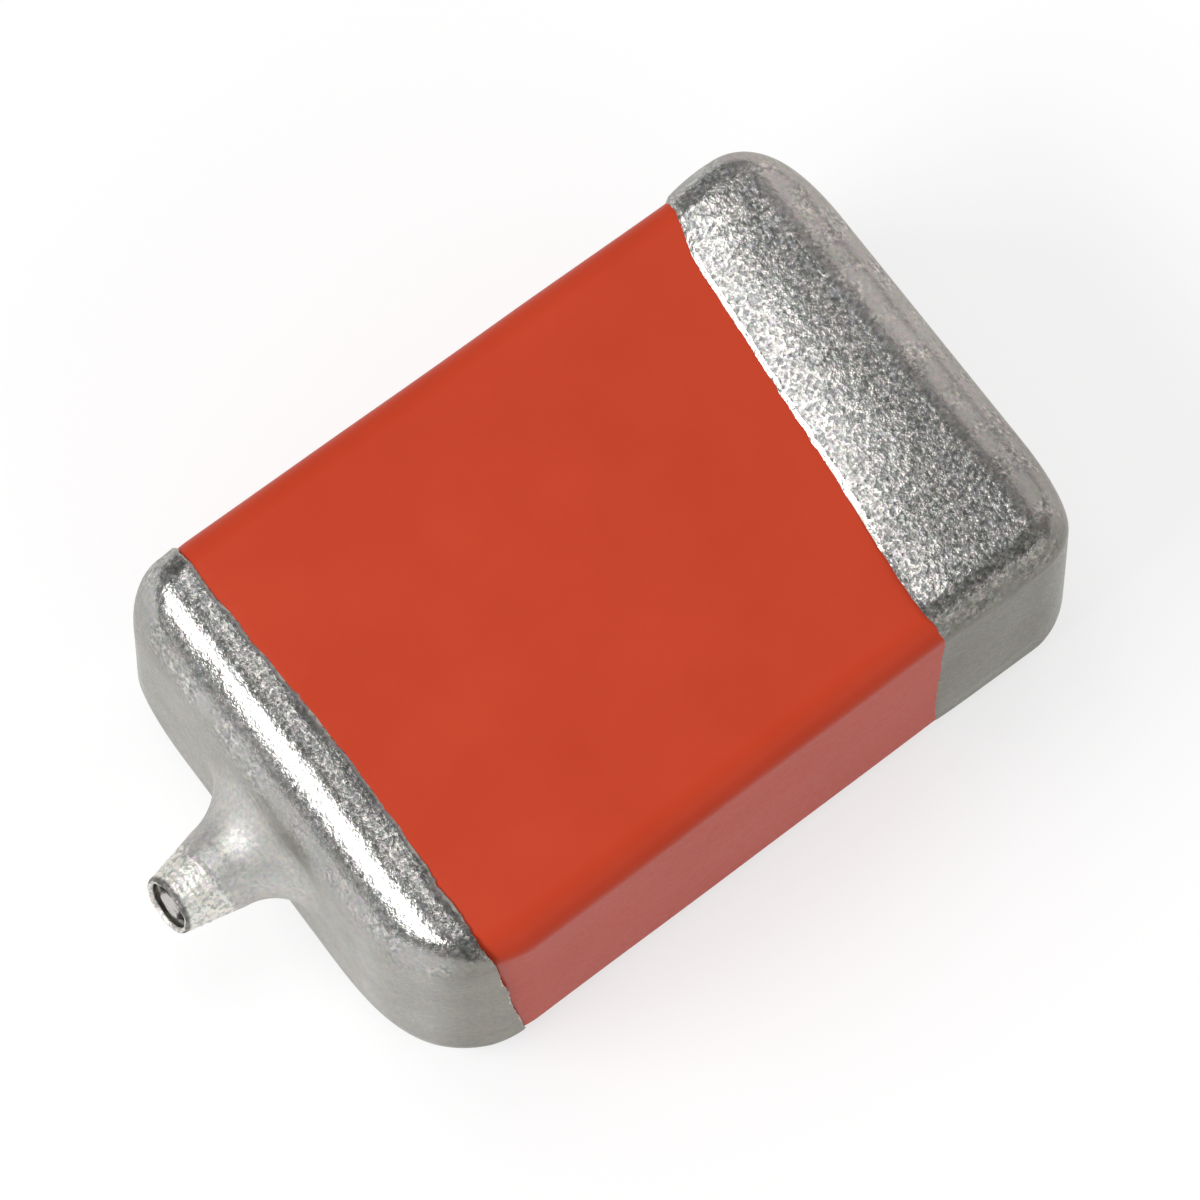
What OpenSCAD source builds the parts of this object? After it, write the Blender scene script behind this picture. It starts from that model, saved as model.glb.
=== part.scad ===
// Conformally coated solid tantalum chip capacitor, D case.
// The length runs along X, with the anode nib at -X and the cathode at +X. The part lies on z = 0
// on the undersides of its two terminations, and the origin is under the middle of its length.
//
// From the inside out: a lead wire sintered into a porous tantalum block, an insulating washer on
// the wire, then manganese dioxide, graphite and silver skins on the block, an epoxy coating that
// leaves the cathode end bare, and at each end a dipped silver base under nickel and tin.

/* [Case] */
// Length over everything, from the tip of the nib to the cathode end
case_length = 7.5; // [7.3:0.05:7.7]
// Width over the terminations
case_width = 4.3; // [4.0:0.05:4.6]
// Height over the terminations
case_height = 2.6; // [2.5:0.05:3.1]
// How far the nib stands out of the anode end
nib_reach = 1.0; // [0.9:0.05:1.2]

/* [Terminations] */
// Length of the cathode termination, on the middle of the width
cathode_wrap = 1.34; // [1.1:0.02:1.6]
// Slope of the cathode termination's edge across the width, in degrees
cathode_slant = 5.5; // [0:0.5:8]
// Length of the anode termination, at half height
anode_wrap = 0.78; // [0.66:0.02:0.9]
// Slope of the anode termination's edge over the height, in degrees, longer below
anode_slant = 5; // [0:0.5:8]
// Slope of the anode termination's edge across the width, in degrees
anode_skew = -2; // [-3:0.5:3]
// Thickness of the silver base where it laps over the coating at the cathode
silver_base = 0.035; // [0.03:0.005:0.05]
// Thickness of the nickel barrier
nickel_plate = 0.01; // [0.01:0.005:0.02]
// Thickness of the tin finish
tin_plate = 0.015; // [0.01:0.005:0.025]

/* [Lead wire] */
// Diameter of the tantalum wire
wire_diameter = 0.36; // [0.3:0.02:0.38]
// Distance of the wire from the middle of the width
wire_offset = 0.1; // [-0.15:0.01:0.15]
// Lean of the cut end of the nib, in degrees, the top cut further back
nib_lean = 11; // [0:1:15]
// Share of the block's length that the wire runs in
wire_share = 0.7; // [0.5:0.05:0.8]
// How far the cut end of the wire lies back in the nib
wire_recess = 0.04; // [0.02:0.01:0.06]

/* [Layers] */
// Thickness of the epoxy coating on the sides
coat_wall = 0.16; // [0.12:0.01:0.2]
// Thickness of the epoxy coating on the anode face of the block
coat_nose = 0.31; // [0.28:0.01:0.35]
// Thickness of the manganese dioxide skin
dioxide_skin = 0.04; // [0.03:0.005:0.05]
// Thickness of the graphite skin
graphite_skin = 0.025; // [0.02:0.005:0.03]
// Thickness of the silver skin
silver_skin = 0.035; // [0.03:0.005:0.04]

/* [Hidden] */
$fn = 48;

// The termination that shows is the outermost skin, and each layer under it is the same form, inset.
nickel_inset = tin_plate;
base_inset = nickel_inset + nickel_plate;
coat_inset = base_inset + silver_base;
// The coating is fuller towards the anode, by this much on every side.
coat_taper = 0.02;

middle_z = case_height / 2;
tip_x = -case_length / 2;
anode_end_x = tip_x + nib_reach;
cathode_end_x = case_length / 2;

// Outer radii of the terminations: seen from above, over the top end edge, and under the bottom one
anode_plan_r = 0.7;
anode_top_r = 0.6;
anode_bottom_r = 0.3;
cathode_plan_r = 0.58;
cathode_top_r = 0.5;
cathode_bottom_r = 0.34;
// Radius of the long edges, and what it grows to around the two end faces
long_edge_r = 0.3;
end_edge_r = 0.5;
// The cathode's end face bulges by end_dome, and is flat over dome_share of its width and height
end_dome = 0.015;
dome_share = 0.6;
// How far back the straight stretch of each termination's full form runs, past any wrap
straight_reach = 2.4;

// How much narrower the cathode termination is on each side than the anode's
cathode_narrowing = 0.045;

// The nib: its radius at the tip, how fast it widens, and the fillet that it grows out of
nib_tip_r = 0.25;
nib_taper = 0.21;
nib_fillet = 0.5;
fillet_from = 30;
fillet_to = 84;
tip_rounding = 0.03;

// Points on each quarter of a skin's ring, and rings on each rounded stretch
corner_steps = 7;
bend_steps = 6;
fillet_steps = 4;

// The coating: how far its two ends lie inside the case
nose_inset = 0.15;
coat_open_x = cathode_end_x - 0.5;

// The block in the middle of it all, and the steps by which the outer skins stop short of its face
block_x = anode_end_x + nose_inset + coat_nose + dioxide_skin;
block_end_x = cathode_end_x - 0.27 - silver_skin - graphite_skin - dioxide_skin;
block_width = case_width - 2 * (coat_inset + coat_wall + silver_skin + graphite_skin + dioxide_skin);
block_height = case_height - 2 * (coat_inset + coat_wall + silver_skin + graphite_skin + dioxide_skin);
block_edge_r = 0.12;
graphite_from_x = block_x + 0.25;
silver_from_x = block_x + 0.4;

washer_r = 0.55;
washer_thickness = 0.2;
joint_x = cathode_end_x - 0.15;
joint_wall = 0.08;
joint_r = 0.35;

far = 2 * case_length;

// ---------------------------------------------------------------- general shapes

// A rectangle with true arcs at its corners, centred.
module rounded_rectangle(width, height, r) {
    square([width - 2 * r, height], center = true);
    square([width, height - 2 * r], center = true);
    for (side = [-1, 1], up = [-1, 1])
        translate([side * (width / 2 - r), up * (height / 2 - r)]) circle(r = r);
}

// Stands a profile drawn in X and Y upright across the length, and runs it from x_from to x_to.
module along_x(x_from, x_to) {
    translate([x_from, 0, 0]) rotate([90, 0, 90]) linear_extrude(height = x_to - x_from) children();
}

// A block with every edge and corner rounded by r, as true cylinders and balls, from x_from to x_to.
module rounded_block(x_from, x_to, width, height, r) {
    length = x_to - x_from;
    translate([(x_from + x_to) / 2, 0, middle_z]) {
        along_x(-length / 2 + r, length / 2 - r) rounded_rectangle(width, height, r);
        for (end = [0, 180]) rotate([0, 0, end]) {
            translate([length / 2 - r, width / 2 - r, 0]) rotate([90, 0, 0])
                linear_extrude(height = width - 2 * r) rim_profile(height, r);
            for (side = [0, 1]) mirror([0, side, 0])
                translate([length / 2 - r, width / 2 - r, 0])
                    rotate_extrude(angle = 90) rim_profile(height, r);
        }
    }
}

// Half of an upright rim: r deep, with a quarter circle at the top and at the bottom.
module rim_profile(height, r) {
    translate([0, -height / 2 + r]) square([r, height - 2 * r]);
    for (up = [0, 1]) mirror([0, up]) translate([0, height / 2 - r])
        intersection() {
            circle(r = r);
            square(r);
        }
}

// A round bar along the wire's line.
module on_wire(x_from, x_to, r) {
    translate([x_from, wire_offset, middle_z]) rotate([0, 90, 0]) cylinder(h = x_to - x_from, r = r);
}

// ---------------------------------------------------------------- skins of the terminations

// One closed ring across the length: a rounded rectangle of half width w between two heights.
function ring(x, y, w, low, high, r) = [
    for (corner = [0:3], step = [0:corner_steps])
        let (
            angle = 90 * (corner + step / corner_steps),
            side = (corner == 0 || corner == 3) ? 1 : -1,
            top = corner < 2
        )
        [x, y + side * (w - r) + r * cos(angle), (top ? high - r : low + r) + r * sin(angle)]
];

// A ring round the nib that is all but a circle; the rest keeps its points apart. lean tips it back.
function round_ring(x, r, lean = 0) = [
    for (p = ring(x, wire_offset, r, middle_z - r, middle_z + r, 0.97 * r))
        [p[0] + tan(lean) * (p[2] - middle_z + r), p[1], p[2]]
];

// How far a quarter circle of radius r has dropped at a distance d from the end.
function drop(d, r) = d >= r ? 0 : r - sqrt(r * r - (r - d) * (r - d));

// The rings that bend in round an end, from above, from below and from both sides, at one depth of
// inset. toward is -1 at the anode and 1 at the cathode.
function bend_rings(toward, end_x, half_width, plan_r, top_r, bottom_r, inset) = [
    for (step = [0:bend_steps])
        let (
            share = step / bend_steps,
            r = plan_r - inset,
            d = r * (1 - sin(90 * share)),
            w = half_width - inset - r * (1 - cos(90 * share)),
            edge_r = long_edge_r - inset + (end_edge_r - long_edge_r) * share
        )
        ring(end_x - toward * (inset + d), 0, w,
            inset + drop(d, bottom_r - inset), case_height - inset - drop(d, top_r - inset), edge_r)
];

function anode_bend(end_x, inset) =
    bend_rings(-1, end_x, case_width / 2, anode_plan_r, anode_top_r, anode_bottom_r, inset);

// A ring of the straight stretch between the two ends.
function straight_ring(x, half_width, inset) =
    ring(x, 0, half_width - inset, inset, case_height - inset, long_edge_r - inset);

function reversed(list) = [for (k = [len(list) - 1:-1:0]) list[k]];

// The rings of the nib: the fillet that leaves the end face, the taper, and the rounded tip.
function nib_rings(inset) =
    let (
        fillet = nib_fillet + inset,
        root_r = nib_tip_r + nib_taper * (nib_reach - nib_fillet) - inset,
        tip_r = nib_tip_r - inset
    )
    [
        for (step = [0:fillet_steps])
            let (angle = fillet_from + (fillet_to - fillet_from) * step / fillet_steps)
            round_ring(anode_end_x + inset - fillet * (1 - cos(angle)),
                root_r + fillet * (1 - sin(angle))),
        round_ring(tip_x + inset + tip_rounding, tip_r, nib_lean),
        round_ring(tip_x + inset, tip_r - tip_rounding, nib_lean)
    ];

// A closed solid through a list of rings that run along +X and all have the same number of points.
module skin(rings) {
    n = len(rings[0]);
    last = len(rings) - 1;
    sides = [
        for (k = [0:last - 1], i = [0:n - 1])
            let (j = (i + 1) % n)
            each [[k * n + i, (k + 1) * n + i, k * n + j], [k * n + j, (k + 1) * n + i, (k + 1) * n + j]]
    ];
    near = [for (i = [1:n - 2]) [0, i, i + 1]];
    away = [for (i = [1:n - 2]) [last * n, last * n + i + 1, last * n + i]];
    polyhedron(points = [for (r = rings) each r], faces = concat(sides, near, away));
}

module anode_skin(inset) {
    skin(reversed(concat(
        [straight_ring(anode_end_x + straight_reach, case_width / 2, inset)],
        anode_bend(anode_end_x, inset),
        nib_rings(inset)
    )));
}

module cathode_skin(inset) {
    half_width = case_width / 2 - cathode_narrowing;
    dome_w = half_width - cathode_plan_r;
    dome_h = (case_height - cathode_top_r - cathode_bottom_r) / 2;
    dome_z = cathode_bottom_r + dome_h;
    skin(concat(
        [straight_ring(cathode_end_x - straight_reach, half_width, inset)],
        bend_rings(1, cathode_end_x - end_dome, half_width,
            cathode_plan_r, cathode_top_r, cathode_bottom_r, inset),
        [ring(cathode_end_x - inset, 0, dome_share * dome_w,
            dome_z - dome_share * dome_h, dome_z + dome_share * dome_h, dome_share * end_edge_r)]
    ));
}

// Everything on the anode side of the termination's edge, which slants over the height and the width.
module anode_side(back) {
    translate([anode_end_x + anode_wrap - back, 0, middle_z]) rotate([0, -anode_slant, anode_skew])
        translate([-far, -far / 2, -far / 2]) cube(far);
}

// Everything on the cathode side of the termination's edge, which slants across the width.
module cathode_side(back) {
    translate([cathode_end_x - cathode_wrap + back, 0, middle_z]) rotate([0, 0, -cathode_slant])
        translate([0, -far / 2, -far / 2]) cube(far);
}

// Solid forms of the terminations out to one layer. The inner layers stop short, under the outer ones.
module anode_form(inset) {
    intersection() {
        anode_skin(inset);
        anode_side(inset);
    }
}

module cathode_form(inset) {
    intersection() {
        cathode_skin(inset);
        cathode_side(inset);
    }
}

// ---------------------------------------------------------------- solid forms of the layers inside

module block_form() {
    rounded_block(block_x, block_end_x, block_width, block_height, block_edge_r);
}

// The block grown on every side by t.
module grown_block(t) {
    rounded_block(block_x - t, block_end_x + t, block_width + 2 * t, block_height + 2 * t,
        block_edge_r + t);
}

module beyond_x(x) {
    translate([x, -far / 2, -far / 2]) cube(far);
}

module dioxide_form() {
    grown_block(dioxide_skin);
}

module graphite_form() {
    intersection() {
        grown_block(dioxide_skin + graphite_skin);
        beyond_x(graphite_from_x);
    }
}

module silver_form() {
    intersection() {
        grown_block(dioxide_skin + graphite_skin + silver_skin);
        beyond_x(silver_from_x);
    }
}

module washer_form() {
    on_wire(block_x - washer_thickness, block_x, washer_r);
}

module wire_form(x_from) {
    on_wire(x_from, block_x + wire_share * (block_end_x - block_x), wire_diameter / 2);
}

// The coating filled in: a long rounded bar, with the anode termination's own bend at its nose.
module coat_form() {
    nose = coat_inset - coat_taper;
    skin(reversed(concat(
        [straight_ring(coat_open_x, case_width / 2 - cathode_narrowing, coat_inset)],
        anode_bend(anode_end_x + nose_inset - nose, nose)
    )));
}

// The conductive epoxy filled in: it caps the end that the coating leaves bare.
module joint_form() {
    extra = dioxide_skin + graphite_skin + silver_skin + joint_wall;
    intersection() {
        rounded_block(block_x, joint_x, block_width + 2 * extra, block_height + 2 * extra, joint_r);
        beyond_x(coat_open_x);
    }
}

// ---------------------------------------------------------------- the pieces

module lead_wire() color([0.42, 0.44, 0.47]) intersection() {
    wire_form(tip_x - 1);
    translate([tip_x + wire_recess, 0, middle_z - nib_tip_r]) rotate([0, nib_lean, 0])
        translate([0, -far / 2, -far / 2]) cube(far);
}

module tantalum_block() color([0.35, 0.35, 0.36]) difference() {
    block_form();
    wire_form(tip_x);
}

module insulating_washer() color([0.93, 0.93, 0.9]) difference() {
    washer_form();
    wire_form(tip_x);
}

module manganese_dioxide() color([0.14, 0.13, 0.12]) difference() {
    dioxide_form();
    block_form();
    washer_form();
}

module graphite() color([0.2, 0.2, 0.21]) difference() {
    graphite_form();
    dioxide_form();
}

module silver_skin() color([0.78, 0.78, 0.76]) difference() {
    silver_form();
    graphite_form();
}

module cathode_joint() color([0.66, 0.66, 0.64]) difference() {
    joint_form();
    silver_form();
}

module epoxy_coating() color([0.77, 0.27, 0.19]) difference() {
    coat_form();
    dioxide_form();
    graphite_form();
    silver_form();
    washer_form();
    wire_form(tip_x);
}

module anode_silver_base() color([0.72, 0.72, 0.7]) difference() {
    anode_form(base_inset);
    coat_form();
    wire_form(tip_x - 1);
}

module anode_nickel_barrier() color([0.66, 0.65, 0.6]) difference() {
    anode_form(nickel_inset);
    anode_form(base_inset);
    coat_form();
    wire_form(tip_x - 1);
}

module anode_tin_finish() color([0.62, 0.62, 0.6]) difference() {
    anode_form(0);
    anode_form(nickel_inset);
    coat_form();
    wire_form(tip_x - 1);
}

module cathode_silver_base() color([0.72, 0.72, 0.7]) difference() {
    cathode_form(base_inset);
    coat_form();
    joint_form();
}

module cathode_nickel_barrier() color([0.66, 0.65, 0.6]) difference() {
    cathode_form(nickel_inset);
    cathode_form(base_inset);
    coat_form();
}

module cathode_tin_finish() color([0.62, 0.62, 0.6]) difference() {
    cathode_form(0);
    cathode_form(nickel_inset);
    coat_form();
}

lead_wire();
tantalum_block();
insulating_washer();
manganese_dioxide();
graphite();
silver_skin();
cathode_joint();
epoxy_coating();
anode_silver_base();
anode_nickel_barrier();
anode_tin_finish();
cathode_silver_base();
cathode_nickel_barrier();
cathode_tin_finish();
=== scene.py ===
"""Dresses a conformally coated tantalum chip capacitor: its epoxy coat, its two dipped metal
terminations and the cut end of its anode wire, on a pale floor under soft studio light.

The length runs along X with the anode nib at -X, the width along Y, and the part stands on z = 0.
Shapes are worked out in millimetres and put into their meshes in metres.
"""

import math

import bpy
import numpy as np
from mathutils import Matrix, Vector


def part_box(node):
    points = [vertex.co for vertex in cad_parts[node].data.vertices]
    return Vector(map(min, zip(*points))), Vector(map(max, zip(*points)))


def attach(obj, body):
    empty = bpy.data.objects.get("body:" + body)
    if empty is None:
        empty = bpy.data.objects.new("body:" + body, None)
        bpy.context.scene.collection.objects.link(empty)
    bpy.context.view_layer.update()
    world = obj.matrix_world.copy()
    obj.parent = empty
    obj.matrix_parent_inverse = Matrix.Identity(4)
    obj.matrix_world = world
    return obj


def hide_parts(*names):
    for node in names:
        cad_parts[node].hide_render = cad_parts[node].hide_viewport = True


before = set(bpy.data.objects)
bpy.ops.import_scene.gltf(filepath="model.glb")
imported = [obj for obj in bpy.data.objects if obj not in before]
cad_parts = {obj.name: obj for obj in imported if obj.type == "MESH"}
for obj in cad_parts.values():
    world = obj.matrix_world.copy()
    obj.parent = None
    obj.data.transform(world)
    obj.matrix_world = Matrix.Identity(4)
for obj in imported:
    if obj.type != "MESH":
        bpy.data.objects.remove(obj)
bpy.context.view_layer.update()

MM = 0.001


def box_mm(node):
    """The lowest and highest corner of a CAD node, in millimetres."""
    low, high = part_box(node)
    return np.array(low) / MM, np.array(high) / MM


anode_low, anode_high = box_mm("anode_tin_finish")
cathode_high = box_mm("cathode_tin_finish")[1]
coat_low, coat_high = box_mm("epoxy_coating")
dioxide_low, dioxide_high = box_mm("manganese_dioxide")
graphite_low, graphite_high = box_mm("graphite")
silver_low, silver_high = box_mm("silver_skin")
washer_low, washer_high = box_mm("insulating_washer")
wire_low, wire_high = box_mm("lead_wire")

# ---------------------------------------------------------------- sizes in millimetres

# the case: its corners are rounded more at its ends than along it, and its cathode end is domed
HEIGHT = cathode_high[2]
MIDDLE_Z = HEIGHT / 2
ANODE_HALF_WIDTH = anode_high[1]
CATHODE_HALF_WIDTH = cathode_high[1]
LONG_EDGE_RADIUS = 0.3
END_EDGE_RADIUS = 0.5
CATHODE_END_X = cathode_high[0]
END_DOME = 0.015

# the wire, and the nib round it: a cone with a fillet at its root, cut off with a lean
WIRE_Y = (washer_low[1] + washer_high[1]) / 2
WIRE_RADIUS = (wire_high[1] - wire_low[1]) / 2
TIP_X = anode_low[0]
NIB_REACH = 1.01
NIB_TIP_RADIUS = 0.25
NIB_TAPER = 0.21
NIB_FILLET = 0.5
NIB_LEAN = math.tan(math.radians(11))

# the anode's end plane, which stands askew by ANODE_SKEW along X for each millimetre of Y
ANODE_END_X = TIP_X + NIB_REACH
ANODE_SKEW = 0.024

# how far each termination reaches along the coat, and how its edge leans in height and slants in Y
ANODE_WRAP = 0.759
ANODE_EDGE_LEAN = math.tan(math.radians(6.5))
ANODE_EDGE_SLANT = 0.02
CATHODE_WRAP = 1.39
CATHODE_EDGE_SLANT = 0.1

# where the coat's taper has reached the cathode's width and build-up
TAPER_END_X = CATHODE_END_X - 1.34

# the skins: how thick a termination is, how deep its edge sinks into the coat, how much it thins on
# the -Y side, and the gap between surfaces that touch
ANODE_BUILD_UP = 0.025
CATHODE_BUILD_UP = 0.045
EDGE_SUNK = 0.006
FLUSH_SHARE = 0.7
TOUCH_GAP = 0.001

# where the tin and the nickel end, as shares of the build-up from the outside to the coat
TIN_SHARE = {"anode": 0.375, "cathode": 0.25}
NICKEL_SHARE = {"anode": 0.625, "cathode": 0.417}

# at the nib's cut: how much the tin's rim rounds over, how far back the tin's inner side ends, and
# how far back the silver ends, which leaves a groove round the wire
RIM_ROUNDING = 0.035
PLATING_SETBACK = 0.045
GROOVE_DEPTH = 0.13

# how close the rows of a surface that nothing shows lie, as a share of the closest
HIDDEN_ROWS = 0.4


# ---------------------------------------------------------------- shape maths


class Around:
    """One turn round a cross-section, anticlockwise seen from the cathode: corner samples on each
    quarter circle and side samples on each straight. y_side and z_side run from -1 to 1 with the
    centre of the rounding, angle is the direction of the rounding, and even is an even turn, whose
    unit circle is ring_y and ring_z."""

    def __init__(self, corner, side):
        quarter = np.arange(corner) / corner
        slide = 1 - 2 * np.arange(side) / side
        full, flat = np.ones(corner), np.ones(side)
        self.y_side = np.concatenate([full, slide, -full, -flat, -full, -slide, full, flat])
        self.z_side = np.concatenate([full, flat, full, slide, -full, -flat, -full, -slide])
        turn = [part for k in range(4) for part in (k + quarter, (k + 1) * flat)]
        self.angle = np.concatenate(turn) * math.pi / 2
        count = 4 * (corner + side)
        self.even = math.pi / 4 + (np.arange(count) - corner / 2) * 2 * math.pi / count
        self.ring_y, self.ring_z = np.cos(self.even), np.sin(self.even)


def column(values):
    """Values as one column, so that each stands for a row of the grid."""
    return np.asarray(values, dtype=float)[:, None]


def between(a, b, share):
    """The value at a share of the way from a to b: a (1 - s) + b s."""
    return a * (1 - share) + b * share


def ease(share):
    """A smooth step from 0 to 1: 3 s^2 - 2 s^3."""
    s = np.clip(share, 0, 1)
    return s * s * (3 - 2 * s)


def sections(around, half_width, low, high, radius, circle=0.0, y_centre=0.0):
    """The y and z of rows of cross-sections, each a rounded rectangle: the centre of the rounding,
    plus radius times the cosine and sine of its direction. circle moves that direction from the
    rounded rectangle's own, at 0, to an even turn, at 1."""
    direction = between(around.angle, around.even, circle)
    half_height = (high - low) / 2
    y = y_centre + (half_width - radius) * around.y_side + radius * np.cos(direction)
    z = (low + high) / 2 + (half_height - radius) * around.z_side + radius * np.sin(direction)
    return y, z


def round_wire(around, radius):
    """The y and z of circles round the wire's line: its place plus radius times the unit circle."""
    return WIRE_Y + radius * around.ring_y, MIDDLE_Z + radius * around.ring_z


def quarter_drop(depth, radius):
    """How far a quarter circle has dropped at a depth from the end:
    radius - sqrt(radius^2 - (radius - depth)^2), and nothing past its radius."""
    inside = np.clip(radius - depth, 0, radius)
    return radius - np.sqrt(np.maximum(radius**2 - inside**2, 0))


def bend_share(depth, radius):
    """The turn that a quarter circle has made at a depth from the end, from 0 to 1:
    asin(1 - depth / radius), as a share of a right angle."""
    return np.arcsin(np.clip(1 - depth / radius, 0, 1)) / (math.pi / 2)


def ripple(x, y, z, seed, length):
    """A slow unevenness of about -1 to 1: a third of the sum of five sines of position, each along
    its own direction, whose wavelengths lie round length."""
    rng = np.random.default_rng(seed)
    total = 0
    for _ in range(5):
        wave = rng.normal(size=3)
        wave *= 2 * math.pi / (length * rng.uniform(0.7, 1.4) * np.linalg.norm(wave))
        phase = rng.uniform(0, 2 * math.pi)
        total = total + np.sin(x * wave[0] + y * wave[1] + z * wave[2] + phase)
    return total / 3


# ---------------------------------------------------------------- meshes


def add_surface(name, x, y, z, rows_closed=False, poles=False):
    """A mesh through a grid of points in millimetres, one closed turn after another, with quads
    between. rows_closed joins the last turn to the first, and poles closes both end turns with a
    fan to their middle."""
    x, y, z = np.broadcast_arrays(x, y, z)
    rows, turn = x.shape
    points = np.stack([x, y, z], axis=-1).reshape(-1, 3) * MM
    row = np.arange(rows if rows_closed else rows - 1)[:, None]
    column_here = np.arange(turn)[None, :]
    next_row, next_column = (row + 1) % rows, (column_here + 1) % turn
    quads = np.stack(
        [
            row * turn + column_here,
            row * turn + next_column,
            next_row * turn + next_column,
            next_row * turn + column_here,
        ],
        axis=-1,
    ).reshape(-1, 4)
    faces = [quads]
    if poles:
        first, last = np.arange(turn), np.arange(turn) + (rows - 1) * turn
        for ring, order in ((first, 1), (last, -1)):
            middle = np.full(turn, len(points))
            points = np.vstack([points, points[ring].mean(axis=0)])
            faces.append(np.stack([middle, np.roll(ring, -1), ring], axis=-1)[:, ::order])
    mesh = bpy.data.meshes.new(name)
    fill_mesh(mesh, points, faces)
    if enclosed_volume(mesh) < 0:
        mesh.flip_normals()
    piece = bpy.data.objects.new(name, mesh)
    bpy.context.scene.collection.objects.link(piece)
    return piece


def fill_mesh(mesh, points, faces):
    """Puts points and groups of faces, each group an array of one face a row, into a mesh."""
    corners = np.concatenate([part.reshape(-1) for part in faces])
    sizes = np.concatenate([np.full(len(part), part.shape[1]) for part in faces])
    starts = np.concatenate([[0], np.cumsum(sizes)[:-1]])
    mesh.vertices.add(len(points))
    mesh.vertices.foreach_set("co", points.ravel())
    mesh.loops.add(len(corners))
    mesh.loops.foreach_set("vertex_index", corners.astype(np.int32))
    mesh.polygons.add(len(sizes))
    mesh.polygons.foreach_set("loop_start", starts.astype(np.int32))
    mesh.polygons.foreach_set("use_smooth", np.ones(len(sizes), dtype=bool))
    mesh.update(calc_edges=True)
    mesh.validate()


def enclosed_volume(mesh):
    """The volume that a closed mesh encloses, below 0 where its faces point inwards: the sum over
    its triangles of a . (b x c) / 6."""
    mesh.calc_loop_triangles()
    corner = np.empty(len(mesh.loop_triangles) * 3, dtype=np.int32)
    mesh.loop_triangles.foreach_get("vertices", corner)
    point = np.empty(len(mesh.vertices) * 3)
    mesh.vertices.foreach_get("co", point)
    a, b, c = point.reshape(-1, 3)[corner.reshape(-1, 3)].transpose(1, 0, 2)
    return float(np.einsum("ij,ij->i", a, np.cross(b, c)).sum() / 6)


def shell(name, outer, inner):
    """A closed skin from an outer grid of rows and an inner one, each three arrays of x, y and z:
    the outer rows, then the inner ones backwards, joined at both ends."""
    rows = [np.concatenate([a, b[::-1]]) for a, b in zip(outer, inner)]
    return add_surface(name, *rows, rows_closed=True)


def stacked(*blocks):
    """Blocks of rows, each an x, a y and a z array, one after another as one grid."""
    grids = [np.broadcast_arrays(*block) for block in blocks]
    return tuple(np.concatenate([grid[k] for grid in grids]) for k in range(3))


# ---------------------------------------------------------------- the forms of the ends


class EndForm:
    """One end of the case: a straight stretch that bends in towards its end plane from the sides,
    from above and from below. plan_radii are those of the +Y and of the -Y corner."""

    def __init__(self, end_x, half_width, plan_radii, top_radius, bottom_radius):
        self.end_x = end_x
        self.half_width = half_width
        self.plan_radii = plan_radii
        self.top_radius = top_radius
        self.bottom_radius = bottom_radius
        self.flat_sides = [half_width - radius for radius in plan_radii]

    def ending_at(self, end_x):
        """The same form with its end plane elsewhere."""
        return EndForm(
            end_x, self.half_width, self.plan_radii, self.top_radius, self.bottom_radius
        )

    def section(self, around, depth, inset, narrowing=0.0, sway=0.0):
        """The cross-section at a depth behind the end plane, inset by a distance: each side, the
        bottom and the top drop by their own quarter circle, and the rounding of the section's
        corners grows from LONG_EDGE_RADIUS to END_EDGE_RADIUS along the bend. narrowing comes off
        the half width, and sway moves the section towards -Y."""
        left, right, top, bottom = (
            radius - inset for radius in (*self.plan_radii, self.top_radius, self.bottom_radius)
        )
        reach = self.half_width - inset - narrowing
        to_left = reach - quarter_drop(depth, left)
        to_right = reach - quarter_drop(depth, right)
        grown = (END_EDGE_RADIUS - LONG_EDGE_RADIUS) * bend_share(depth, top)
        return sections(
            around,
            half_width=(to_left + to_right) / 2,
            low=inset + quarter_drop(depth, bottom),
            high=HEIGHT - inset - quarter_drop(depth, top),
            radius=LONG_EDGE_RADIUS - inset + grown,
            y_centre=(to_left - to_right) / 2 - sway,
        )


ANODE_FORM = EndForm(ANODE_END_X, ANODE_HALF_WIDTH, (0.45, 0.94), 0.6, 0.3)
CATHODE_FORM = EndForm(CATHODE_END_X - END_DOME, CATHODE_HALF_WIDTH, (0.58, 0.58), 0.5, 0.34)


def anode_edge_x(y, z):
    """Where the anode termination ends on the coat: a plane that runs further back below, with a
    bell-shaped swell over the nib, strongest on top, and a coarse and a fine raggedness."""
    height_share = z / HEIGHT
    plane = ANODE_END_X + ANODE_WRAP - (z - MIDDLE_Z) * ANODE_EDGE_LEAN + y * ANODE_EDGE_SLANT
    swell = 0.075 * np.exp(-((y + 0.2) ** 2) / 1.6) * height_share
    coarse = 0.010 * ripple(0 * y, y, z, seed=3, length=0.35)
    fine = 0.008 * ripple(0 * y, y, z, seed=4, length=0.09)
    return plane + swell + coarse + fine


def cathode_edge_x(y, z):
    """Where the cathode termination ends on the coat: a plane that slants across the width and
    turns back a little at the +Y side and at the top of the -Y corner, with a long and a short
    wave along it."""
    plane = CATHODE_END_X - CATHODE_WRAP + y * CATHODE_EDGE_SLANT
    at_side = ease((y - 1.45) / 0.5)
    at_top_corner = ease((-y - 1.8) / 0.25) * ease((z / HEIGHT - 0.68) / 0.2)
    long_wave = 0.008 * ripple(0 * y, y, z, seed=5, length=1.3)
    short_wave = 0.006 * ripple(0 * y, y, z, seed=6, length=0.13)
    return plane + 0.09 * at_side + 0.04 * at_top_corner + long_wave + short_wave


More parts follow.
